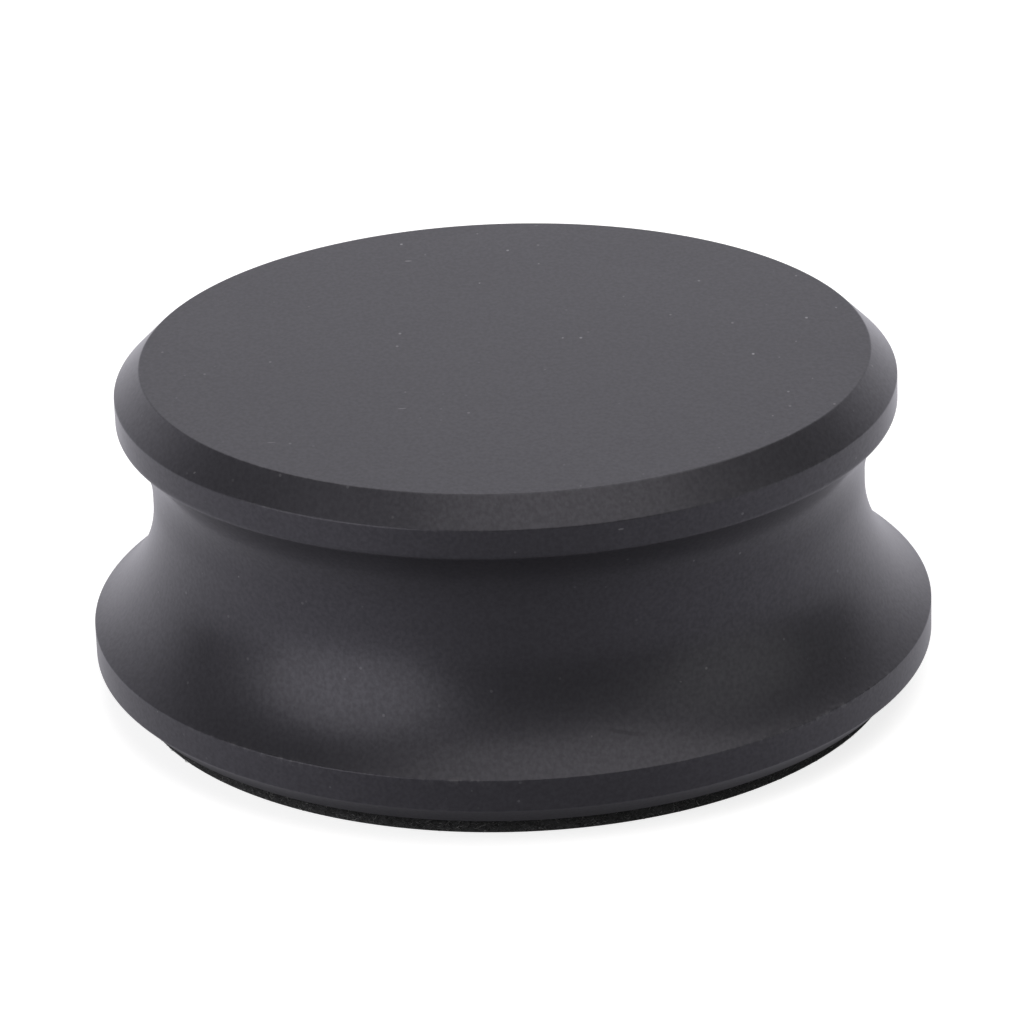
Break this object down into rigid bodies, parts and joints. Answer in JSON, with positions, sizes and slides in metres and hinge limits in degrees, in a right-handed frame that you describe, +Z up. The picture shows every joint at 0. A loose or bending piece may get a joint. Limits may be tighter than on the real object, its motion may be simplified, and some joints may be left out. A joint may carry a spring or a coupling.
{
  "type": "record weight",
  "caption": "Turned black metal puck with chamfered rim, hollow waist, flared base and felt pad; it drops over a turntable spindle and presses a record flat.",
  "frame": {"origin": "centre of the pad's underside, where the weight rests on the record's label", "axes": "+Z up along the turning axis; X and Y are free, because the body is round"},
  "size_m": [0.076, 0.076, 0.0306],
  "materials": {
    "black_anodised_aluminium": "bead-blasted and anodised matte black",
    "black_felt": "dense pressed felt"
  },
  "bodies": {
    "root": {"weight_body": "black_anodised_aluminium", "base_pad": "black_felt"}
  },
  "joints": []
}
